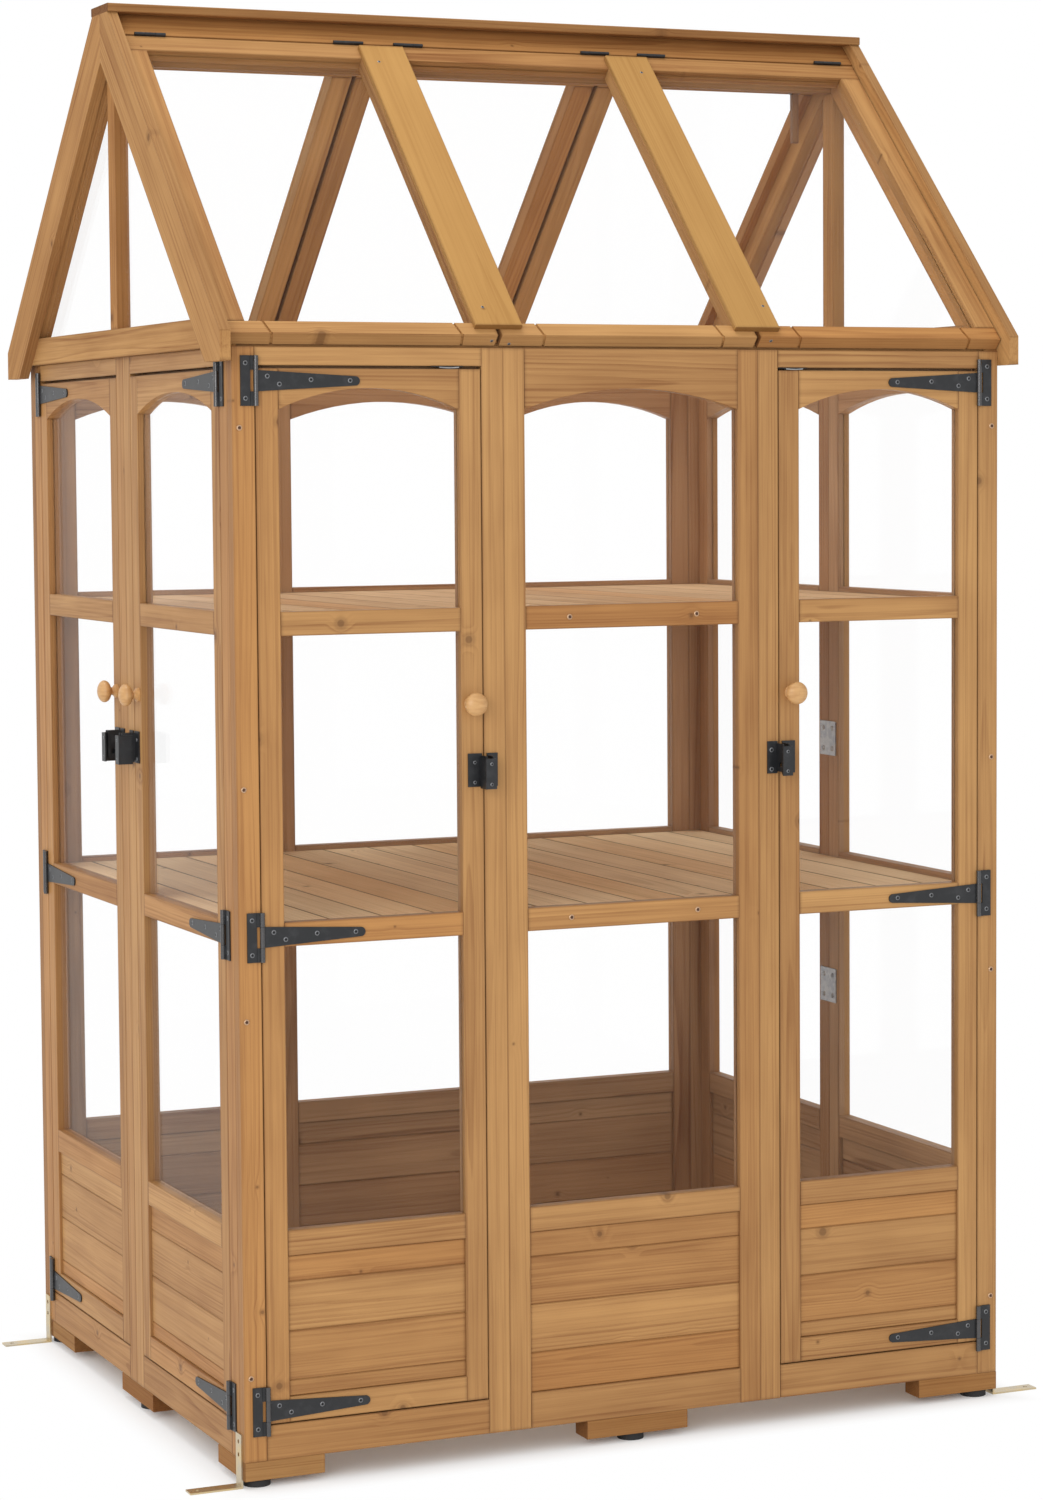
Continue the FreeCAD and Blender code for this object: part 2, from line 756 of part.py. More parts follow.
def panel_pane(slope, start):
    """Pane of a roof panel, held between its stiles and rails."""
    x = (start + vent_stile, start + vent_wide - vent_stile)
    up = (vent_low_end + vent_bottom_rail, vent_high_end - vent_top_rail)
    out = (vent_outer - vent_pane_drop - pane_thick, vent_outer - vent_pane_drop)
    return slope.plank(x, up, out, pane_ease)


def batten(slope, middle):
    """Cover strip over the seam between two roof panels."""
    x = (middle - batten_wide / 2, middle + batten_wide / 2)
    up = (vent_low_end + batten_above_end, vent_high_end - batten_below_top)
    return slope.plank(x, up, (vent_outer, vent_outer + batten_thick), batten_ease)


def butt_leaf(slope, middle, fixed):
    """Half of a small butt hinge: a leaf in the joint and its knuckles above the roof face."""
    half = butt_long / 2
    if fixed:
        up = (fascia_low_end - butt_leaf_thick, fascia_low_end)
        spans = [(middle - butt_middle_half, middle + butt_middle_half)]
    else:
        up = (vent_high_end, vent_high_end + butt_leaf_thick)
        side_start = butt_middle_half + butt_side_gap
        spans = [(middle - half, middle - side_start), (middle + side_start, middle + half)]
    ends = (middle - half, middle + half)
    leaf = slope.plank(ends, up, (vent_inner + butt_leaf_short, butt_leaf_high), butt_ease)
    parts = []
    for x in spans:
        parts.append(slope.rod(butt_knuckle_radius, x, butt_middle, butt_knuckle_out))
        parts.append(slope.plank(x, up, (butt_leaf_high - butt_tab_overlap, butt_knuckle_out), butt_ease))
    whole = leaf.fuse(parts)
    if fixed:
        return whole.fuse(slope.rod(butt_pin_radius, ends, butt_middle, butt_knuckle_out)).removeSplitter()
    return whole.cut(slope.rod(butt_bore_radius, ends, butt_middle, butt_knuckle_out)).removeSplitter()


# Opening roof vents on the front slope; the outer two carry the battens over the seams.
vent_names = ("vent_left", "vent_middle", "vent_right")
for name, start in zip(vent_names, vent_starts):
    middles = (start + butt_from_ends, start + vent_wide - butt_from_ends)
    save(name + "_frame", *panel_frame(front_slope, start))
    save(name + "_pane", panel_pane(front_slope, start))
    save(name + "_hinges", *[butt_leaf(front_slope, middle, False) for middle in middles])
    leaves += [butt_leaf(front_slope, middle, True) for middle in middles]
left_seam = vent_starts[1] - vent_seam / 2
right_seam = vent_starts[2] - vent_seam / 2
save("vent_left_batten", batten(front_slope, left_seam))
save("vent_right_batten", batten(front_slope, right_seam))
save("hinge_leaves", *leaves)

# Fixed panels of the rear slope
rear_frames = []
rear_panes = []
for start in vent_starts:
    rear_frames += panel_frame(rear_slope, start)
    rear_panes.append(panel_pane(rear_slope, start))
save("rear_roof_frames", *rear_frames)
save("rear_roof_panes", *rear_panes)
save("rear_roof_battens", batten(rear_slope, left_seam), batten(rear_slope, right_seam))

roof_x = (roof_left, roof_right)

# Gables: tie beam, king post and two rafters at each end, with two panes between them.
rafter_top = vent_inner - rest_gap
rafter_low = rafter_top - gable_rafter_wide
tie_top = wall_high + gable_tie_high
middle_y = depth / 2
beam_y = middle_y - ridge_beam_thick / 2
post_y = middle_y - king_post_wide / 2
gable_pieces = []
gable_glass = []
for x in ((roof_x[0], roof_x[0] + gable_thick), (roof_x[1] - gable_thick, roof_x[1])):
    tie = [
        (front_slope.level(wall_high, rafter_top), wall_high),
        (depth - front_slope.level(wall_high, rafter_top), wall_high),
        (depth - front_slope.level(tie_top, rafter_top), tie_top),
        (front_slope.level(tie_top, rafter_top), tie_top),
    ]
    gable_pieces.append(front_slope.prism(x, tie))
    beam_low = front_slope.height(beam_y, rafter_low)
    post_low = front_slope.height(post_y, rafter_low)
    post = [
        (post_y, tie_top),
        (depth - post_y, tie_top),
        (depth - post_y, post_low),
        (depth - beam_y, beam_low),
        (beam_y, beam_low),
        (post_y, post_low),
    ]
    gable_pieces.append(front_slope.prism(x, post))
    rafter = [
        (front_slope.level(tie_top, rafter_top), tie_top),
        (front_slope.level(tie_top, rafter_low), tie_top),
        (beam_y, beam_low),
        (beam_y, front_slope.height(beam_y, rafter_top)),
    ]
    glass = [
        (front_slope.level(tie_top, rafter_low) + gable_pane_gap, tie_top),
        (post_y, tie_top),
        (post_y, post_low - gable_pane_gap),
    ]
    pane_x = ((x[0] + x[1]) / 2 - pane_thick / 2, (x[0] + x[1]) / 2 + pane_thick / 2)
    for slope in (front_slope, rear_slope):
        gable_pieces.append(slope.prism(x, rafter))
        gable_glass.append(slope.prism(pane_x, glass))
save("gable_frames", *gable_pieces)
save("gable_panes", *gable_glass)

# Barge boards outside the gables
barge_pieces = []
for x in ((roof_x[0] - barge_thick, roof_x[0]), (roof_x[1], roof_x[1] + barge_thick)):
    outline = [
        (-barge_tail_out, barge_tail_low),
        (front_slope.level(barge_tail_low, -barge_wide), barge_tail_low),
        (middle_y, front_slope.height(middle_y, -barge_wide)),
        (middle_y, ridge_cap_low),
        (front_slope.level(ridge_cap_low, 0.0), ridge_cap_low),
        (-barge_tail_out, front_slope.height(-barge_tail_out, 0.0)),
    ]
    for slope in (front_slope, rear_slope):
        barge_pieces.append(slope.prism(x, outline))
save("barge_boards", *barge_pieces)

# Ridge: beam on the king posts, sloping boards the vents hang on, and the flat cap.
beam_low = front_slope.height(beam_y, rafter_low)
beam = plain((roof_x[0], beam_y, beam_low), (roof_x[1], depth - beam_y, ridge_cap_low))
fascia = [
    front_slope.yz(fascia_low_end, vent_outer),
    front_slope.yz(fascia_low_end, vent_inner),
    (beam_y, front_slope.height(beam_y, vent_inner)),
    (beam_y, ridge_cap_low),
    (front_slope.level(ridge_cap_low, vent_outer), ridge_cap_low),
]
save("ridge_boards", beam, front_slope.prism(roof_x, fascia), rear_slope.prism(roof_x, fascia))
cap_low = (roof_x[0] - barge_thick, middle_y - ridge_cap_wide / 2, ridge_cap_low)
cap_high = (roof_x[1] + barge_thick, middle_y + ridge_cap_wide / 2, ridge_cap_low + ridge_cap_thick)
save("ridge_cap", stick(cap_low, cap_high, ridge_cap_ease))

# Blocks under the posts, feet and ground anchors
blocks = []
foot_spots = []
for y_near, y_far in ((0.0, block_wide), (depth - block_wide, depth)):
    z = (-block_high, 0.0)
    blocks.append(stick((0.0, y_near, z[0]), (block_front_left, y_far, z[1])))
    blocks.append(stick((width - block_front_right, y_near, z[0]), (width, y_far, z[1])))
    middle = (width - block_middle_front) / 2
    blocks.append(stick((middle, y_near, z[0]), (middle + block_middle_front, y_far, z[1])))
for x_near, x_far in ((0.0, block_wide), (width - block_wide, width)):
    z = (-block_high, 0.0)
    blocks.append(stick((x_near, block_wide, z[0]), (x_far, block_side_front, z[1])))
    blocks.append(stick((x_near, depth - block_side_rear, z[0]), (x_far, depth - block_wide, z[1])))
    middle = (depth - block_middle_side) / 2
    blocks.append(stick((x_near, middle, z[0]), (x_far, middle + block_middle_side, z[1])))
save("foot_blocks", *blocks)
for x in (foot_from_face, width / 2, width - foot_from_face):
    for y in (foot_from_face, depth - foot_from_face):
        foot_spots.append((x, y))
for x in (foot_from_face, width - foot_from_face):
    foot_spots.append((x, depth / 2))
foot_high = ground_drop - block_high
feet = []
for x, y in foot_spots:
    feet.append(Part.makeCylinder(foot_radius, foot_high, FreeCAD.Vector(x, y, -ground_drop)))
save("feet", *feet)


def anchor(side, a):
    """Bent metal strap: one leg up the wall face and one out over the ground, with screw holes."""
    leg = side.plain((a, a + anchor_wide), (-anchor_thick, 0.0), (-ground_drop, anchor_high - ground_drop))
    foot = side.plain((a, a + anchor_wide), (-anchor_long, 0.0), (-ground_drop, anchor_thick - ground_drop))
    whole = leg.fuse(foot)
    centre = a + anchor_wide / 2
    long = anchor_thick + 2 * cut_past
    start = -anchor_thick - cut_past
    for z in (anchor_low_hole, anchor_high_hole):
        whole = whole.cut(side.rod(anchor_hole_radius, long, centre, start, z, side.inward))
    bottom = -ground_drop - cut_past
    hole = side.rod(anchor_hole_radius, long, centre, -anchor_foot_hole_out, bottom, Z_WAY)
    return whole.cut(hole).removeSplitter()


anchor_sides = (Side((0, 0, 0), (0, 1, 0), (1, 0, 0)), Side((width, 0, 0), (0, 1, 0), (-1, 0, 0)))
anchor_starts = (anchor_from_corner, depth - anchor_from_corner - anchor_wide)
save("anchors", *[anchor(side, a) for side in anchor_sides for a in anchor_starts])


def mending_plate(side, a, level):
    """Flat plate inside the wall over the seam between two modules, with four holes."""
    d = (frame_thick, frame_thick + mend_thick)
    a_ends = (a - mend_wide / 2, a + mend_wide / 2)
    z_ends = (level - mend_high / 2, level + mend_high / 2)
    plate = side.plain(a_ends, d, z_ends)
    start = frame_thick - cut_past
    long = mend_thick + 2 * cut_past
    for hole_a in (a_ends[0] + mend_hole_from_edge, a_ends[1] - mend_hole_from_edge):
        for hole_z in (z_ends[0] + mend_hole_from_edge, z_ends[1] - mend_hole_from_edge):
            plate = plate.cut(side.rod(mend_hole_radius, long, hole_a, start, hole_z, side.inward))
    return plate


mend_levels = (mend_low_level, mend_high_level)
save("mending_plates", *[mending_plate(right, side_module, level) for level in mend_levels])

# Screw heads on the front posts and on the rails of the middle front module
heads = []
for x in (frame_thick / 2, width - frame_thick / 2):
    for level in (post_screw_first, post_screw_second, post_screw_third, post_screw_fourth):
        heads.append(front.rod(screw_radius, screw_proud, x, 0.0, level, Y_WAY * -1))
for x in (width / 2 - rail_screw_from_middle, width / 2 + rail_screw_from_middle):
    for level in ((middle_rail_low + middle_rail_high) / 2, (upper_rail_low + upper_rail_high) / 2):
        heads.append(front.rod(screw_radius, screw_proud, x, 0.0, level, Y_WAY * -1))

# Loose stay hanging on a bent screw under the top rail of the last rear roof panel
stay_middle = vent_starts[2] + vent_wide - vent_stile - stay_from_stile
stay_up_slope = vent_high_end - stay_below_top
stay_x = (stay_middle - stay_thick / 2, stay_middle + stay_thick / 2)
pin_y, pin_z = rear_slope.yz(stay_up_slope, vent_inner - stay_pin_drop)
pin_spot = rear_slope.spot(stay_middle, pin_y, pin_z)
stay_top = pin_z + stay_hole_from_end
stay_low = (stay_x[0], pin_spot.y - stay_wide / 2, stay_top - stay_long)
stay = stick(stay_low, (stay_x[1], pin_spot.y + stay_wide / 2, stay_top))
bore_start = FreeCAD.Vector(stay_x[0] - cut_past, pin_spot.y, pin_z)
stay = stay.cut(Part.makeCylinder(stay_bore_radius, stay_thick + 2 * cut_past, bore_start, X_WAY))
save("roof_stay", stay)
shank_x = stay_x[0] - stay_side_gap - stay_pin_radius
shank_start = FreeCAD.Vector(shank_x, pin_spot.y, pin_z)
rail_y, rail_z = rear_slope.yz(stay_up_slope, vent_inner)
shank_way = rear_slope.spot(shank_x, rail_y, rail_z) - shank_start
shank = Part.makeCylinder(stay_pin_radius, stay_pin_drop, shank_start, shank_way)
bend = Part.makeSphere(stay_pin_radius, shank_start)
pin_long = stay_x[1] + stay_pin_past_side - shank_x
pin = Part.makeCylinder(stay_pin_radius, pin_long, shank_start, X_WAY)
heads.append(shank.fuse([bend, pin]).removeSplitter())
save("screws", *heads)

os.makedirs("parts", exist_ok=True)
for name, group in nodes.items():
    whole = group[0] if len(group) == 1 else Part.makeCompound(group)
    whole.exportStep(os.path.join("parts", name + ".step"))
print(len(nodes), "nodes,", sum(len(group) for group in nodes.values()), "solids")
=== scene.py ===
import json
import math

import bpy
import numpy as np
from mathutils import Matrix, Vector


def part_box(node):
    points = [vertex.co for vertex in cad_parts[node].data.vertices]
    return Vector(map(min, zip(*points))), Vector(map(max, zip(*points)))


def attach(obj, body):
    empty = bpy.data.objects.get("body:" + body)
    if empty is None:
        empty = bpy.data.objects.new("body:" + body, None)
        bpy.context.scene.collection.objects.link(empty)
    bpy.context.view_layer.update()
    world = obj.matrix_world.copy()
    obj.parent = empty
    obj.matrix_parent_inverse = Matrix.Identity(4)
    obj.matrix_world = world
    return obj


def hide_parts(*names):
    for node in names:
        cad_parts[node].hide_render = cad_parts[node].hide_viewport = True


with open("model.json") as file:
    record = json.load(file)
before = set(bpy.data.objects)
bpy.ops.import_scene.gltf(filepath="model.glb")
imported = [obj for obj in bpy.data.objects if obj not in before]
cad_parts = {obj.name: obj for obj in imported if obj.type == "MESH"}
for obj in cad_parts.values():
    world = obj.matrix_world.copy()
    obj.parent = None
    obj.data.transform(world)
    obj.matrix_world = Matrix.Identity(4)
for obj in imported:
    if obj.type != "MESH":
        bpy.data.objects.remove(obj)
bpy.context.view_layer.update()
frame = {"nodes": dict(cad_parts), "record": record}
nodes = frame["nodes"]

# Camera. It stands in front and to the left, at two thirds of the greenhouse's height, and
# looks a little down through a long lens. Its place is in metres, and the lens in photo pixels.
eye = Vector((-2.17765, -5.06037, 1.37888))
yaw = math.radians(23.6222)
pitch = math.radians(-3.8551)
roll = math.radians(-0.4206)
photo_wide, photo_high = 1043, 1500
focal_px = 3633.32
centre_x, centre_y = 520.40, 712.18
sensor_wide = 36
sight_end = 60
level_ahead = Vector((math.sin(yaw), math.cos(yaw), 0))
level_right = Vector((math.cos(yaw), -math.sin(yaw), 0))
ahead = level_ahead * math.cos(pitch) + Vector((0, 0, math.sin(pitch)))
above = level_right.cross(ahead)
right = level_right * math.cos(roll) + above * math.sin(roll)
above = above * math.cos(roll) - level_right * math.sin(roll)
lens = bpy.data.cameras.new("camera")
lens.sensor_fit = "AUTO"
lens.sensor_width = sensor_wide
lens.lens = sensor_wide * focal_px / photo_high
lens.shift_x = (photo_wide / 2 - centre_x) / photo_high
lens.shift_y = (centre_y - photo_high / 2) / photo_high
lens.clip_end = sight_end
camera = bpy.data.objects.new("camera", lens)
camera.matrix_world = Matrix.Translation(eye) @ Matrix((right, above, -ahead)).transposed().to_4x4()
bpy.context.scene.collection.objects.link(camera)
bpy.context.scene.camera = camera
bpy.context.scene.view_settings.view_transform = "Standard"

# Floor and light. A plain pale floor that keeps the greenhouse's shadow near it and goes
# over into the white surroundings, under two broad soft lamps and an even sky.
class Feed:
    """A value inside a finish: sums and products of feeds add their maths nodes."""

    def __init__(self, finish, socket):
        self.finish = finish
        self.socket = socket

    def __add__(self, other):
        return self.finish.maths("ADD", self, other)

    __radd__ = __add__

    def __sub__(self, other):
        return self.finish.maths("SUBTRACT", self, other)

    def __rsub__(self, other):
        return self.finish.maths("SUBTRACT", other, self)

    def __mul__(self, other):
        return self.finish.maths("MULTIPLY", self, other)

    __rmul__ = __mul__

    def __truediv__(self, other):
        return self.finish.maths("DIVIDE", self, other)

    def __pow__(self, other):
        return self.finish.maths("POWER", self, other)

    def __abs__(self):
        return self.finish.maths("ABSOLUTE", self)


class Finish:
    """A material or sky while it is mixed.

    node() adds any node: its settings are set first, then its sockets get their values or links.
    """

    def __init__(self, name, kind=bpy.data.materials):
        self.material = kind.new(name)
        self.material.use_nodes = True
        self.tree = self.material.node_tree
        self.tree.nodes.clear()

    def node(self, kind, settings=None, sockets=None, out=0):
        made = self.tree.nodes.new(kind)
        for key, value in (settings or {}).items():
            setattr(made, key, value)
        for key, value in (sockets or {}).items():
            if isinstance(value, Feed):
                self.tree.links.new(value.socket, made.inputs[key])
            else:
                made.inputs[key].default_value = value
        return Feed(self, made.outputs[out]) if len(made.outputs) else None

    def maths(self, operation, a, b=0.0):
        return self.node("ShaderNodeMath", {"operation": operation}, {0: a, 1: b})

    def ramp(self, value, low, high, smooth=True):
        """0 below low, 1 above high, and a smooth or straight rise between them."""
        kind = "SMOOTHSTEP" if smooth else "LINEAR"
        return self.node("ShaderNodeMapRange", {"interpolation_type": kind}, {0: value, 1: low, 2: high})

    def blend(self, factor, a, b, way="MIX"):
        """Colour a, and colour b, or their product, where the factor is 1.

        Sockets 6 and 7 and output 2 are the colours of the Mix node.
        """
        settings = {"data_type": "RGBA", "blend_type": way}
        return self.node("ShaderNodeMix", settings, {0: factor, 6: a, 7: b}, 2)

    def parts(self, vector):
        """The three numbers of a vector or a colour."""
        split = self.node("ShaderNodeSeparateXYZ", None, {0: vector}).socket.node
        return [Feed(self, split.outputs[i]) for i in range(3)]

    def spot(self, x, y, z):
        """One vector of three numbers."""
        return self.node("ShaderNodeCombineXYZ", None, {0: x, 1: y, 2: z})

    def noise(self, vector, detail=3.0, rough=0.5, scale=1.0):
        sockets = {"Vector": vector, "Scale": scale, "Detail": detail, "Roughness": rough}
        return self.node("ShaderNodeTexNoise", None, sockets)

    def attribute(self, name, out="Vector"):
        return self.node("ShaderNodeAttribute", {"attribute_name": name}, None, out)

    def place(self):
        return self.node("ShaderNodeTexCoord", None, None, "Object")

    def bump(self, height, distance, strength=1.0):
        sockets = {"Height": height, "Distance": distance, "Strength": strength}
        return self.node("ShaderNodeBump", None, sockets)

    def surface(self, shader):
        self.node("ShaderNodeOutputMaterial", None, {"Surface": shader})
        return self.material

    def coat(self, **sockets):
        """The finished surface of a solid material, by the names of its sockets."""
        named = {key.replace("_", " "): value for key, value in sockets.items()}
        return self.surface(self.node("ShaderNodeBsdfPrincipled", None, named))


wall_half_wide = 0.588
wall_half_deep = 0.478
shadow_fades, shadow_gone = -0.045, 0.060
floor_half = 30.0
floor = Finish("pale_floor")
flat_x, flat_y = floor.parts(floor.place())[:2]
past_left = (flat_x + wall_half_wide) * -1.0
past_right = flat_x - wall_half_wide
past_front = (flat_y + wall_half_deep) * -1.0
past_back = flat_y - wall_half_deep
past_side = floor.maths("MAXIMUM", past_left, past_right)
from_wall = floor.maths("MAXIMUM", past_side, floor.maths("MAXIMUM", past_front, past_back))
path_kinds = ("Is Camera Ray", "Is Glossy Ray", "Is Transmission Ray")
seen = sum(floor.node("ShaderNodeLightPath", None, None, kind) for kind in path_kinds)
plain = floor.node("ShaderNodeBsdfDiffuse", None, {"Color": (0.90, 0.90, 0.90, 1)})
white = floor.node("ShaderNodeEmission", None, {"Color": (1, 1, 1, 1), "Strength": 1.0})
far = floor.ramp(from_wall, shadow_fades, shadow_gone) * floor.ramp(seen, 0.0, 0.5)
floor.surface(floor.node("ShaderNodeMixShader", None, {0: far, 1: plain, 2: white}))
floor_ways = ((-1, -1), (1, -1), (1, 1), (-1, 1))
floor_corners = [(x * floor_half, y * floor_half, 0) for x, y in floor_ways]
ground = bpy.data.meshes.new("floor")
ground.from_pydata(floor_corners, [], [(0, 1, 2, 3)])
ground.materials.append(floor.material)
floor_piece = bpy.data.objects.new("floor", ground)
bpy.context.scene.collection.objects.link(floor_piece)

sky_light = 0.85
sky = Finish("sky", bpy.data.worlds)
seen = sum(sky.node("ShaderNodeLightPath", None, None, kind) for kind in path_kinds)
dim = sky.node("ShaderNodeBackground", None, {"Color": (1.0, 0.99, 0.98, 1), "Strength": sky_light})
bright = sky.node("ShaderNodeBackground", None, {"Color": (1, 1, 1, 1), "Strength": 1.0})
both = sky.node("ShaderNodeMixShader", None, {0: sky.ramp(seen, 0.0, 0.5), 1: dim, 2: bright})
sky.node("ShaderNodeOutputWorld", None, {"Surface": both})
bpy.context.scene.world = sky.material


def soft_lamp(name, place, aim, wide, power):
    """A square lamp at a place, turned so that it shines at a point."""
    light = bpy.data.lights.new(name, "AREA")
    light.shape = "SQUARE"
    light.size = wide
    light.energy = power
    lamp = bpy.data.objects.new(name, light)
    lamp.location = place
    lamp.rotation_mode = "QUATERNION"
    lamp.rotation_quaternion = (Vector(aim) - Vector(place)).to_track_quat("-Z", "Y")
    bpy.context.scene.collection.objects.link(lamp)


lamp_aim = (0, 0, 1.0)
soft_lamp("lamp_front", (-4.0, -4.8, 2.4), lamp_aim, wide=3.0, power=122)
soft_lamp("lamp_top", (-0.8, 0.3, 5.2), lamp_aim, wide=2.4, power=80)

# Walls. Frames of planed fir with bevelled boards below, all stained honey brown. Every stick has
# its grain along its length: pale early wood, darker late wood, small knots, stain in the edges.
dice = np.random.default_rng(7)


def solids_of(node):
    """Corner points, triangles and the solid each belongs to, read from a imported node.

    Equal corners are made one. The triangles come solid by solid, and a solid ends where every
    edge walked one way has been walked back: each edge has a random number, added one way and
    taken off the other, so the running sum is zero again at the end of a closed solid.
    """
    steps_per_metre = 2e5
    largest = 2 ** 40
    mesh = nodes[node].data
    points = np.empty(len(mesh.vertices) * 3)
    mesh.vertices.foreach_get("co", points)
    mesh.calc_loop_triangles()
    faces = np.empty(len(mesh.loop_triangles) * 3, int)
    mesh.loop_triangles.foreach_get("vertices", faces)
    keys = np.round(points.reshape(-1, 3) * steps_per_metre).astype(np.int64)
    keys, first, back = np.unique(keys, axis=0, return_index=True, return_inverse=True)
    points = points.reshape(-1, 3)[first]
    faces = back.ravel()[faces].reshape(-1, 3)
    a = faces
    b = faces[:, [1, 2, 0]]
    pair = np.minimum(a, b) * len(points) + np.maximum(a, b)
    pairs, which = np.unique(pair.ravel(), return_inverse=True)
    number = np.random.default_rng(1).integers(-largest, largest, len(pairs))
    walked = (number[which.ravel()].reshape(pair.shape) * np.where(a < b, 1, -1)).sum(1)
    closed = np.cumsum(walked) == 0
    solid = np.cumsum(np.r_[0, closed[:-1]])
    return points, faces, solid


def grain_of(points, faces):
    """Length, width and thickness directions of one stick, from its own faces and edges.

    The length runs along the longest straight edge between two faces that are not in one
    plane; the thickness is square to that, along the normal of the largest flat area. Faces are
    told apart by the cosine between their normals.
    """
    one_plane = 0.97
    square_to = 0.05
    same_way = 0.999
    no_area = 1e-15
    corner = points[faces]
    cross = np.cross(corner[:, 1] - corner[:, 0], corner[:, 2] - corner[:, 0])
    area = np.linalg.norm(cross, axis=1)
    normal = cross / np.maximum(area, no_area)[:, None]
    a = faces
    b = faces[:, [1, 2, 0]]
    key = np.minimum(a, b) * (faces.max() + 1) + np.maximum(a, b)
    order = np.argsort(key.ravel(), kind="stable")
    one = order[0::2]
    two = order[1::2]
    bent = np.einsum("ij,ij->i", normal[one // 3], normal[two // 3]) < one_plane
    start = points[a.ravel()[one]]
    end = points[b.ravel()[one]]
    length = np.linalg.norm(end - start, axis=1) * bent
    along = (end - start)[length.argmax()]
    along = along / np.linalg.norm(along)
    along = along * np.sign(along[np.abs(along).argmax()])
    square = np.abs(normal @ along) < square_to
    face_weight = np.abs(normal @ normal.T) > same_way
    total = (face_weight * area[None, :]).sum(1) * square
    thick = normal[total.argmax()]
    thick = thick - along * (thick @ along)
    thick = thick / np.linalg.norm(thick)
    thick = thick * np.sign(thick[np.abs(thick).argmax()])
    return along, np.cross(thick, along), thick


def sawn_wood(node, paint):
    """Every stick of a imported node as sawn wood, with its grain, edges and tone written on its points.

    fit: distances from the stick's middle, along its length, width and thickness. grain: the same,
    moved by chance along the tree and off its pith. half: half the stick's sizes. tone: three
    chance numbers of the stick.
    """
    points, faces, solid = solids_of(node)
    all_points = []
    all_faces = []
    columns = {"grain": [], "fit": [], "half": [], "tone": []}
    count = 0
    for number in range(solid.max() + 1):
        own = faces[solid == number]
        used, renamed = np.unique(own, return_inverse=True)
        own = renamed.reshape(-1, 3)
        spots = points[used]
        axes = np.array(grain_of(spots, own))
        local = spots @ axes.T
        low = local.min(0)
        high = local.max(0)
        local = local - (low + high) / 2
        half = (high - low) / 2
        up_the_tree = dice.uniform(0, 40)
        beside_pith = dice.uniform(-0.03, 0.03)
        off_pith = dice.uniform(0.012, 0.07) * dice.choice([-1, 1])
        shift = np.array([up_the_tree, beside_pith, off_pith])
        chance = np.array([dice.uniform(0, 1) for draw in range(3)])
        all_points.append(spots)
        all_faces.append(own + count)
        count += len(spots)
        columns["grain"].append(local + shift)
        columns["fit"].append(local)
        columns["half"].append(np.tile(half, (len(spots), 1)))
        columns["tone"].append(np.tile(chance, (len(spots), 1)))
    name = node + "_sawn"
    mesh = bpy.data.meshes.new(name)
    mesh.from_pydata(np.concatenate(all_points), [], np.concatenate(all_faces))
    for key, value in columns.items():
        column = mesh.attributes.new(key, "FLOAT_VECTOR", "POINT")
        column.data.foreach_set("vector", np.concatenate(value).astype(np.float32).ravel())
    mesh.materials.append(paint)
    piece = bpy.data.objects.new(name, mesh)
    bpy.context.scene.collection.objects.link(piece)
    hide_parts(node)
    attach(piece, body_of[node])


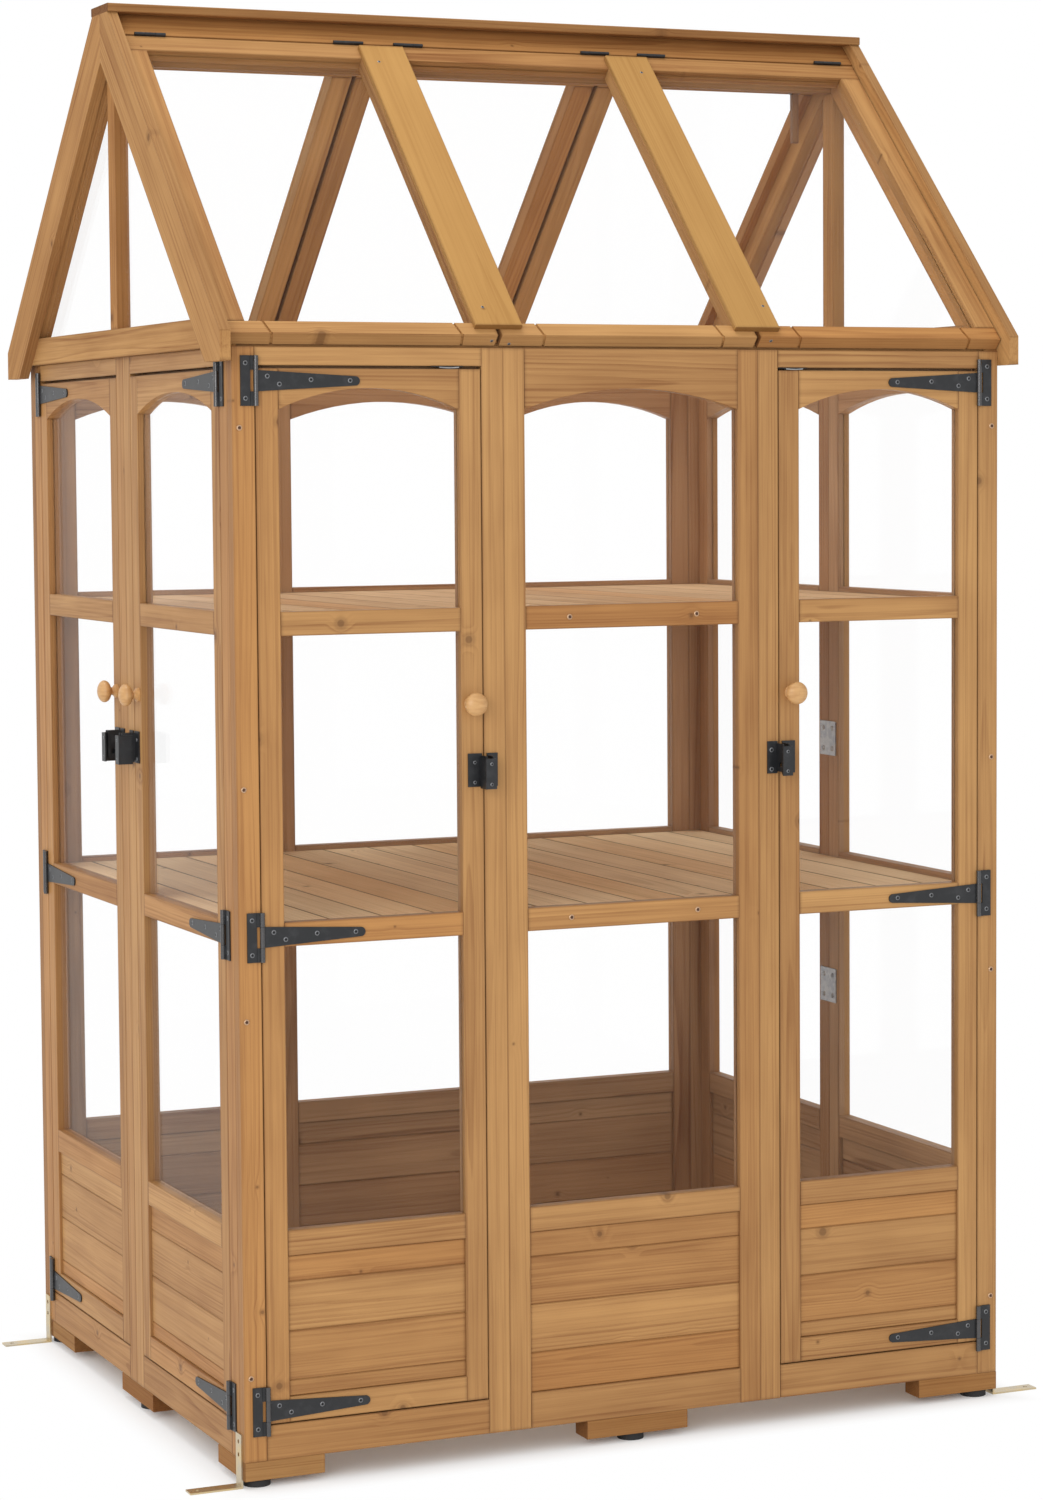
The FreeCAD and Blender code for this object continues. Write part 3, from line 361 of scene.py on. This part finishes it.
def stained_fir(name, pale, dark, knot_brown, painted_inside_shade=None, shine=0.30, dull=0.0, seam=0.26):
    """Stained fir. Ring number: distance from the pith, bent slowly along the stick, over the ring width.

    Each ring's late wood has its own chance darkness. Deeper in than the panes, the colour is
    multiplied by `painted_inside_shade`, a painted shade and tint that stands in for the dim, hazy light on
    the
    faces that only see the inside. shine: how strongly it mirrors. dull: what its roughness gets on
    top. seam: how much stain its edges hold.
    """
    ring_wide = 0.0034
    knots_per_metre = 4.6
    wood = Finish(name)
    along, across, inward = wood.parts(wood.attribute("grain"))
    light, warm, seed = wood.parts(wood.attribute("tone"))
    # the rings wander in a long bend and a short ripple
    bend =wood.noise(wood.spot(along * 1.1, across * 4.0, inward * 4.0), 1.0) - 0.5
    ripple = wood.noise(wood.spot(along * 5.0, across * 45.0, inward * 45.0), 2.0) - 0.5
    # knots lie about a fifth of a metre apart in the plank, each with its own chance size
    knot_u = along * knots_per_metre + seed * 7.0
    knot_v = across * knots_per_metre + seed * 5.0
    knot_at = {"Vector": wood.spot(knot_u, knot_v, 0.0), "Scale": 1.0}
    cells = {"voronoi_dimensions": "2D"}
    knot_far = wood.node("ShaderNodeTexVoronoi", cells, knot_at, "Distance")
    chance = wood.parts(wood.node("ShaderNodeTexVoronoi", cells, knot_at, "Color"))[0]
    knot_size = 0.006 + chance * chance * 0.024
    swirl = wood.ramp(knot_far, 0.11, 0.0) * chance
    pith_far = (across * across + inward * inward) ** 0.5
    ring = (pith_far + bend * 0.024 + ripple * 0.0026 + swirl * 0.007) / ring_wide
    number = wood.maths("FLOOR", ring)
    turn = ring - number
    one_way = {"noise_dimensions": "1D"}
    own = wood.node("ShaderNodeTexWhiteNoise", one_way, {"W": number + seed * 91.0}, "Value")
    late_line = wood.ramp(turn, 0.25, 0.90) * (1.0 - wood.ramp(turn, 0.92, 1.0)) * (0.10 + own * own * 0.90)
    # fine fibres and streaks run along the stick, and broad bands and clouds shade it
    fibre = wood.noise(wood.spot(along * 9.0, across * 430.0, inward * 430.0), 2.0, 0.6)
    streak = wood.noise(wood.spot(along * 1.8, across * 170.0, inward * 170.0), 3.0, 0.65)
    band = wood.noise(wood.spot(along * 1.3, across * 30.0, inward * 30.0), 2.0)
    cloud = wood.noise(wood.spot(along * 7.0, across * 16.0, inward * 16.0), 2.0)
    knot = 1.0 - wood.ramp(knot_far / knot_size, 0.7, 1.15)
    knot_rim = wood.ramp(knot_far / knot_size, 2.6, 1.0) - knot * 0.6
    grain_dark = late_line * 0.56 + wood.ramp(streak, 0.47, 0.66) * 0.36 + (fibre - 0.5) * 0.62
    board_dark = (cloud - 0.5) * 0.75 + (band - 0.5) * 0.95 + (light - 0.5) * 0.55
    shade = wood.ramp(grain_dark + board_dark, -0.45, 1.25, False)
    colour = wood.blend(shade, pale, dark)
    colour = wood.blend(wood.ramp(warm, 0.45, 1.0) * 0.60, colour, (0.93, 0.76, 0.58, 1), "MULTIPLY")
    colour = wood.blend(wood.ramp(knot_rim, 0.0, 1.0) * 0.24, colour, knot_brown)
    colour = wood.blend(knot * 0.55, colour, knot_brown)
    # the stain gathers along the eased edges and at the ends
    fit_u, fit_v = wood.parts(wood.attribute("fit"))[:2]
    half_u, half_v = wood.parts(wood.attribute("half"))[:2]
    from_end = half_u - abs(fit_u)
    from_side = half_v - abs(fit_v)
    end_dark = wood.ramp(from_end, 0.005, 0.0)
    side_dark = wood.ramp(from_side, 0.0026, 0.0003)
    edge = wood.maths("MAXIMUM", end_dark * 0.32, side_dark * seam)
    colour = wood.blend(edge, colour, knot_brown)
    end_face = wood.ramp(from_end, 0.0008, 0.0002)
    colour = wood.blend(end_face * 0.8, colour, (0.60, 0.50, 0.42, 1), "MULTIPLY")
    # painted shade: deeper in than the panes the colour takes the inside tint, which stands in for the dim,
    # hazy light there
    if painted_inside_shade:
        pane_front, pane_back = 0.0085, 0.0115
        x, y = wood.parts(wood.place())[:2]
        wall_depth = wood.maths("MINIMUM", wall_half_wide - abs(x), wall_half_deep - abs(y))
        colour = wood.blend(wood.ramp(wall_depth, pane_front, pane_back), colour, painted_inside_shade, "MULTIPLY")
    rough = 0.50 + dull + shade * 0.12 + (fibre - 0.5) * 0.12
    height = late_line * 0.35 + fibre * 0.5 + streak * 0.2 - knot * 0.5
    normal = wood.bump(height, 0.00022, 0.8)
    wood.coat(Base_Color=colour, Roughness=rough, Normal=normal, IOR=1.46, Specular_IOR_Level=shine)
    return wood.material


body_of = {node: body for body, group in frame["record"]["behaviour"]["bodies"].items() for node in group}
honey_pale = (0.528, 0.291, 0.108, 1)
honey_dark = (0.213, 0.083, 0.026, 1)
knot_dark = (0.090, 0.034, 0.013, 1)
# painted shade: this tint on faces inside the panes stands in for the dim, hazy light there
inside_painted_shade = (0.92, 1.02, 1.46, 1)
wall_honey = stained_fir("wall_fir", honey_pale, honey_dark, knot_dark, inside_painted_shade)
for node in ("front_frame", "left_frame", "right_frame", "back_frame", "wall_boards"):
    sawn_wood(node, wall_honey)

# Doors. Four glazed leaves of the same stained fir, each hung on three strap hinges, with
# bevelled boards below the glass and an arched head rail.
doors = ("front_left_door", "front_right_door", "side_front_door", "side_rear_door")
for door in doors:
    sawn_wood(door + "_frame", wall_honey)
    sawn_wood(door + "_boards", wall_honey)

# Shelves. Boards of paler fir with hardly any stain, from front to back on three cleats; those
# of the lower shelf are the palest, partly their own tone and partly painted light that makes up
# for the shade under the upper shelf.
upper_pale, upper_dark = (0.670, 0.445, 0.255, 1), (0.400, 0.230, 0.115, 1)
# painted light: the lower shelf's colours are raised to make up for the shade under the upper shelf
lower_pale_and_painted_light, lower_dark_and_painted_light = (0.880, 0.660, 0.410, 1), (0.550, 0.360, 0.200, 1)
cleat_pale, cleat_dark = (0.340, 0.190, 0.090, 1), (0.190, 0.083, 0.038, 1)
matt = {"shine": 0.05, "dull": 0.32}
upper_fir = stained_fir("upper_shelf_fir", upper_pale, upper_dark, knot_dark, seam=0.75, **matt)
lower_fir = stained_fir("lower_shelf_fir", lower_pale_and_painted_light, lower_dark_and_painted_light, knot_dark, seam=0.85, **matt)
cleat_fir = stained_fir("cleat_fir", cleat_pale, cleat_dark, knot_dark)
sawn_wood("lower_shelf", lower_fir)
sawn_wood("upper_shelf", upper_fir)
sawn_wood("shelf_cleats", cleat_fir)

# Roof. Three glazed vents hinged at the ridge, with cover strips over their seams, the fixed
# rear slope, gables, barge boards and a flat ridge cap, all of stained fir.
strip_pale, strip_dark = (0.470, 0.264, 0.083, 1), (0.335, 0.168, 0.047, 1)
satin = {"shine": 0.15, "dull": 0.15}
roof_honey = stained_fir("roof_fir", honey_pale, honey_dark, knot_dark, **satin)
strip_golden = stained_fir("strip_fir", strip_pale, strip_dark, knot_dark, **satin)
vents = ("vent_left", "vent_middle", "vent_right")
for vent in vents:
    sawn_wood(vent + "_frame", roof_honey)
rear_slope = ("rear_roof_frames", "rear_roof_battens")
for node in rear_slope + ("gable_frames", "barge_boards", "ridge_boards", "ridge_cap"):
    sawn_wood(node, roof_honey)
for node in ("vent_left_batten", "vent_right_batten"):
    sawn_wood(node, strip_golden)

# Blocks and stay. Short fir blocks lift the posts off the ground, and a small stick that
# props a vent hangs loose on a bent screw inside the roof.
sawn_wood("foot_blocks", roof_honey)
sawn_wood("roof_stay", cleat_fir)


# Panes. Clear acrylic sheet, 3 mm thick, held in the frames of walls, doors and roof, with a
# faint brownish haze that runs across it in slanting bands.
def paint_node(node, paint):
    """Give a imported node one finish."""
    slots = nodes[node].material_slots
    for slot in slots:
        slot.link = "OBJECT"
        slot.material = paint
    if not slots:
        nodes[node].data.materials.append(paint)


pane = Finish("clear_pane")
pane_x, pane_y, pane_z = pane.parts(pane.place())
across_bands = pane_x * 1.6 + pane_y * 1.6 + pane_z * 2.4
along_bands = (pane_z - pane_x) * 0.5
smear = pane.noise(pane.spot(across_bands, along_bands, 0.0), 2.0)
haze = 0.002 + pane.ramp(smear, 0.50, 0.70) * 0.004
clear = pane.node("ShaderNodeBsdfTransparent", None, {"Color": (1, 1, 1, 1)})
gloss = pane.node("ShaderNodeBsdfGlossy", None, {"Color": (1, 1, 1, 1), "Roughness": 0.03})
film = pane.node("ShaderNodeBsdfDiffuse", None, {"Color": (0.93, 0.88, 0.88, 1)})
facing = pane.node("ShaderNodeLayerWeight", None, {"Blend": 0.5}, "Facing")
glance = 0.003 + facing ** 5.0 * 0.25
hazy = pane.node("ShaderNodeMixShader", None, {0: haze, 1: clear, 2: film})
pane.surface(pane.node("ShaderNodeMixShader", None, {0: glance, 1: hazy, 2: gloss}))
for node in [n for n in nodes if n.endswith(("_panes", "_pane"))]:
    paint_node(node, pane.material)

# Knobs. Turned beech, oiled, with the grain across the knob's face.
turned = Finish("turned_wood")
x, y, z = turned.parts(turned.place())
wave =turned.noise(turned.spot(x * 60, y * 60, z * 260), 2.0)
shade = turned.ramp(wave, 0.30, 0.75)
colour = turned.blend(shade, (0.600, 0.345, 0.140, 1), (0.500, 0.265, 0.098, 1))
turned.coat(Base_Color=colour, Roughness=0.38 + shade * 0.1, Normal=turned.bump(wave, 0.0002, 0.5))
for door in doors:
    paint_node(door + "_knob", turned.material)

# Hinges and latches. Pressed steel with a black powder coat and fine orange peel; the rolled
# knuckles round each door's pin are bare nickel. Straps and leaves lie flat on the wood.
coat_starts, bare_within = 0.0040, 0.0036
iron = Finish("black_iron")
place = iron.place()
x, y = iron.parts(place)[:2]
pin_lines = ((-0.55525, -0.4818), (0.55525, -0.4818), (-0.5918, -0.42525), (-0.5918, 0.42525))
from_pins = [((x - at_x) ** 2.0 + (y - at_y) ** 2.0) ** 0.5 for at_x, at_y in pin_lines]
near_pin = from_pins[0]
for from_pin in from_pins[1:]:
    near_pin = iron.maths("MINIMUM", near_pin, from_pin)
peel = iron.noise(place, 2.0, 0.5, 900.0)
worn = iron.noise(place, 4.0, 0.6, 60.0)
bare = iron.ramp(near_pin, coat_starts, bare_within) * (0.55 + worn * 0.5)
black = iron.blend(iron.ramp(worn, 0.45, 0.8), (0.010, 0.011, 0.013, 1), (0.028, 0.029, 0.032, 1))
colour = iron.blend(bare, black, (0.115, 0.112, 0.113, 1))
rough = 0.34 + worn * 0.14 - bare * 0.18
iron.coat(Base_Color=colour, Roughness=rough, Normal=iron.bump(peel, 0.00015, 0.5), Metallic=bare * 0.9)
for door in doors:
    paint_node(door + "_ironwork", iron.material)
    paint_node(door + "_latch_flip", iron.material)
for vent in vents:
    paint_node(vent + "_hinges", iron.material)
paint_node("hinge_leaves", iron.material)
paint_node("latch_keepers", iron.material)

# Screws and rivets of the hinges and latches. Black pan-head wood screws with a cross recess
# are driven down onto the steel: four in each strap, and two in each leaf, latch plate and
# keeper. Each latch's flip has two plain rivets.
def round_heads(name, body, paint, slot, spots, along, outward, half_wide, rise, cross=0.0):
    """Round heads on a flat face, each on a square grid of a and b from -1 to 1.

    The grid is drawn in to a disc: u is a times (1 - b^2 / 2)^0.5, and v is b times
    (1 - a^2 / 2)^0.5. A head stands rise * (1 - u^2 - v^2)^0.5 off the face, less the little that
    its rim is sunk. A cross is pressed in where a and b both lie within its two arms.
    """
    arm_half_wide = 0.2
    arm_half_long = 0.6
    sunk = 0.0002
    side = np.linspace(-1, 1, 15)
    a, b = np.meshgrid(side, side, indexing="ij")
    u = a * np.sqrt(1 - b * b / 2)
    v = b * np.sqrt(1 - a * a / 2)
    far = np.clip(u * u + v * v, 0, 1)
    in_arm = np.minimum(abs(a), abs(b)) < arm_half_wide
    pressed = in_arm & (np.maximum(abs(a), abs(b)) < arm_half_long)
    stand = rise * (np.sqrt(1 - far) - cross * pressed) - sunk
    along = np.array(along, float)
    outward = np.array(outward, float)
    up = np.cross(outward, along)
    head = u[..., None] * half_wide * along + v[..., None] * half_wide * up + stand[..., None] * outward
    points = np.asarray(spots, float)[:, None, :] + head.reshape(1, -1, 3)
    index = np.arange(side.size ** 2).reshape(side.size, side.size)
    quads = np.stack([index[:-1, :-1], index[1:, :-1], index[1:, 1:], index[:-1, 1:]], -1).reshape(1, -1, 4)
    quads = quads + (np.arange(len(spots)) * index.size)[:, None, None]
    mesh = bpy.data.meshes.new(name)
    mesh.from_pydata(points.reshape(-1, 3), [], quads.reshape(-1, 4))
    rim = mesh.attributes.new("rim", "FLOAT", "POINT")
    rim.data.foreach_set("value", np.tile(np.sqrt(far).ravel(), len(spots)).astype(np.float32))
    mesh.polygons.foreach_set("use_smooth", np.ones(len(mesh.polygons), bool))
    mesh.materials.append(paint)
    piece = bpy.data.objects.new(name, mesh)
    bpy.context.scene.collection.objects.link(piece)
    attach(piece, body)


strap_levels = (0.1055, 0.7515, 1.4965)
strap_screws = ((0.016, 0.0060), (0.033, -0.0045), (0.078, 0.0015), (0.134, 0.0005))
leaf_screws = ((-0.0148, 0.0235), (-0.0148, -0.0235))
latch_screw_rises = (0.0105, -0.0170)
rivet_rises = (0.0095, -0.0185)
plate_out = 0.0022
flip_out = 0.0272
post_past_door = 0.0015
plate_screws_in = 0.0135
keeper_screws_in = 0.0125
rivets_past_door = 0.0010
pan_head = {"half_wide": 0.0034, "rise": 0.0012, "cross": 0.7}
small_pan_head = {"half_wide": 0.0026, "rise": 0.0011, "cross": 0.7}
rivet_head = {"half_wide": 0.0026, "rise": 0.0014}
# painted light: each black head is near black in its middle as painted shade in the recess, and lighter grey
# towards its rim as a painted glint
painted_recess_shade, painted_rim_glint = (0.004, 0.004, 0.005, 1), (0.210, 0.215, 0.225, 1)
screw_black = Finish("screw_black")
scuff = screw_black.noise(screw_black.place(), 3.0, 0.5, 300.0)
rim = screw_black.attribute("rim", "Fac")
colour = screw_black.blend(screw_black.ramp(rim, 0.25, 0.9), painted_recess_shade, painted_rim_glint)
screw_black.coat(Base_Color=colour, Roughness=0.24 + scuff * 0.2, Metallic=0.6)
black_heads = (screw_black.material, "black_iron")
up = np.array((0.0, 0.0, 1.0))
door_ways = {
    "front_left_door": ((1, 0, 0), (0, -1, 0), 0.9645),
    "front_right_door": ((-1, 0, 0), (0, -1, 0), 0.9645),
    "side_front_door": ((0, 1, 0), (-1, 0, 0), 0.9800),
    "side_rear_door": ((0, -1, 0), (-1, 0, 0), 0.9800),
}
for door, (along, outward, latch_level) in door_ways.items():
    low, high = (np.array(corner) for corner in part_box(door + "_frame"))
    along = np.array(along, float)
    outward = np.array(outward, float)
    hinge_edge = np.where((along > 0) | (outward < 0), low, high) * (1, 1, 0) + outward * plate_out
    wide = abs((high - low) @ along)
    on_straps = []
    on_leaves = []
    for level in strap_levels:
        on_straps += [hinge_edge + along * a + up * (level + rise) for a, rise in strap_screws]
        on_leaves += [hinge_edge + along * a + up * (level + rise) for a, rise in leaf_screws]
    plate_line = hinge_edge + along * (wide - plate_screws_in)
    on_plate = [plate_line + up * (latch_level + rise) for rise in latch_screw_rises]
    keeper_line = hinge_edge + along * (wide + post_past_door + keeper_screws_in)
    on_keeper = [keeper_line + up * (latch_level + rise) for rise in latch_screw_rises]
    flip_front = outward * (flip_out - plate_out) + along * (wide + rivets_past_door)
    rivets = [hinge_edge + flip_front + up * (latch_level + rise) for rise in rivet_rises]
    on_post = on_leaves + on_keeper
    round_heads(door + "_screws", door, *black_heads, on_straps, along, outward, **pan_head)
    round_heads(door + "_plate_screws", door, *black_heads, on_plate, along, outward, **small_pan_head)
    round_heads(door + "_rivets", door + "_latch", *black_heads, rivets, along, outward, **rivet_head)
    round_heads(door + "_post_screws", "house", *black_heads, on_post, along, outward, **pan_head)

# Feet. Moulded black rubber pads, screwed up into the blocks under the posts.
rubber = Finish("black_rubber")
grit = rubber.noise(rubber.place(), 3.0, 0.5, 500.0)
rough = 0.62 + grit * 0.2
rubber.coat(Base_Color=(0.018, 0.018, 0.019, 1), Roughness=rough, Normal=rubber.bump(grit, 0.0002, 0.5))
paint_node("feet", rubber.material)

# Ground anchors. Punched steel strap, yellow zinc plated, bent so that one leg is screwed to
# the side wall and the other takes a screw into the ground.
zinc = Finish("yellow_zinc")
bloom = zinc.noise(zinc.place(), 4.0, 0.6, 45.0)
colour = zinc.blend(zinc.ramp(bloom, 0.3, 0.7), (0.66, 0.50, 0.25, 1), (0.55, 0.48, 0.36, 1))
zinc.coat(Base_Color=colour, Metallic=0.9, Roughness=0.26 + bloom * 0.16)
paint_node("anchors", zinc.material)

# Mending plates and frame screws. Two bare galvanised steel plates inside the right wall, and
# cross-head screws with a yellow-brown plated rim that hold the frames to each other; the middle
# of each head is painted dark as the shade in its recess.
steel = Finish("grey_steel")
spangle = steel.noise(steel.place(), 3.0, 0.5, 160.0)
colour = steel.blend(steel.ramp(spangle, 0.35, 0.65), (0.30, 0.30, 0.31, 1), (0.42, 0.41, 0.40, 1))
steel.coat(Base_Color=colour, Metallic=0.85, Roughness=0.30 + spangle * 0.2)
paint_node("mending_plates", steel.material)
paint_node("screws", steel.material)
plated = Finish("plated_screw")
rim = plated.attribute("rim", "Fac")
dull = plated.noise(plated.place(), 3.0, 0.5, 400.0)
# painted shade: the head goes dark brown towards its middle for the shade in the recess; the rim keeps the
# plating's colour
colour = plated.blend(plated.ramp(rim, 0.45, 0.72), (0.10, 0.048, 0.028, 1), (0.56, 0.36, 0.22, 1))
plated.coat(Base_Color=colour, Roughness=0.28 + dull * 0.2, Metallic=0.7)
front_way = ((1, 0, 0), (0, -1, 0))
inside_way = ((0, 1, 0), (-1, 0, 0))
frame_head = {"half_wide": 0.0040, "rise": 0.0014, "cross": 0.7}
plate_head = {"half_wide": 0.0042, "rise": 0.0016, "cross": 0.6}
screw_face = -0.4786
plate_face = 0.566
post_levels = (0.152, 0.638, 0.951, 1.434)
middle_levels = (0.753, 1.17175)
plate_levels = (0.555, 0.948)
frame_spots = [(x, screw_face, z) for x in (-0.578, 0.578) for z in post_levels]
frame_spots += [(x, screw_face, z) for x in (-0.098, 0.098) for z in middle_levels]
round_heads("frame_screws", "house", plated.material, "grey_steel", frame_spots, *front_way, **frame_head)
plate_holes = [(dy, dz) for dy in (-0.014, 0.014) for dz in (-0.016, 0.016)]
side_spots = [(plate_face, dy, z + dz) for z in plate_levels for dy, dz in plate_holes]
round_heads("side_plate_screws", "house", steel.material, "grey_steel", side_spots, *inside_way, **plate_head)

# Roof nails and screws. Small dark nail heads along the cover strips, and one screw near the
# seam in the low end of each vent's bottom rail.
roof_slant = math.radians(44.6)
along_eaves = (1, 0, 0)
off_slope = (0, -math.sin(roof_slant), math.cos(roof_slant))
down_slope = (0, -math.cos(roof_slant), -math.sin(roof_slant))
nail_head = {"half_wide": 0.0024, "rise": 0.0008}
end_head = {"half_wide": 0.0026, "rise": 0.0008, "cross": 0.6}
strip_nails = {
    "vent_left": [(-0.2184, -0.0839, 1.9701), (-0.2183, -0.4610, 1.5982)],
    "vent_right": [(0.2052, -0.0843, 1.9697), (0.2168, -0.4545, 1.6046)],
}
end_screws = {
    "vent_left": [(-0.2140, -0.4820, 1.5512)],
    "vent_middle": [(-0.1867, -0.4783, 1.5474)],
    "vent_right": [(0.2135, -0.4850, 1.5541)],
}
for vent, spots in strip_nails.items():
    round_heads(vent + "_nails", vent, *black_heads, spots, along_eaves, off_slope, **nail_head)
for vent, spots in end_screws.items():
    round_heads(vent + "_end_screw", vent, *black_heads, spots, along_eaves, down_slope, **end_head)

# Door catches. A pressed black plate under each front header, over the free end of its door,
# with a bright spring tongue bowed down to the door.
def bowed_strip(name, paint, low, high, bow=0.0):
    """Closed strip along X between two corners: a rectangle carried along it.

    It hangs lower by bow * sin(pi * s), where s runs from 0 to 1 along its length.
    """
    s = np.linspace(0, 1, 25)[:, None]
    inward = np.array([0.0, 1.0, 1.0, 0.0])[None, :]
    upward = np.array([1.0, 1.0, 0.0, 0.0])[None, :]
    points = np.empty((s.size, 4, 3))
    points[:, :, 0] = low[0] + s * (high[0] - low[0])
    points[:, :, 1] = low[1] + inward * (high[1] - low[1])
    points[:, :, 2] = low[2] + upward * (high[2] - low[2]) - bow * np.sin(np.pi * s)
    index = np.arange(s.size * 4).reshape(s.size, 4)
    turned_on = np.roll(index, -1, axis=1)
    quads = np.stack([index[:-1], index[1:], turned_on[1:], turned_on[:-1]], -1).reshape(-1, 4)
    quads = np.concatenate([quads, index[:1], index[-1:, ::-1]])
    mesh = bpy.data.meshes.new(name)
    mesh.from_pydata(points.reshape(-1, 3), [], quads)
    mesh.materials.append(paint)
    piece = bpy.data.objects.new(name, mesh)
    bpy.context.scene.collection.objects.link(piece)
    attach(piece, "house")


header_under = 1.5170
plate_under = 1.5161
tongue_under = 1.5146
tongue_bow = 0.0007
front_face = -wall_half_deep
for name, low_x, high_x in (("catch_left", -0.302, -0.255), ("catch_right", 0.229, 0.274)):
    plate_low = (low_x, front_face - 0.0004, plate_under)
    plate_high = (high_x, front_face + 0.014, header_under)
    tongue_low = (low_x + 0.012, front_face - 0.0003, tongue_under)
    tongue_high = (high_x - 0.006, front_face + 0.012, plate_under)
    bowed_strip(name + "_plate", iron.material, plate_low, plate_high)
    bowed_strip(name + "_tongue", steel.material, tongue_low, tongue_high, tongue_bow)
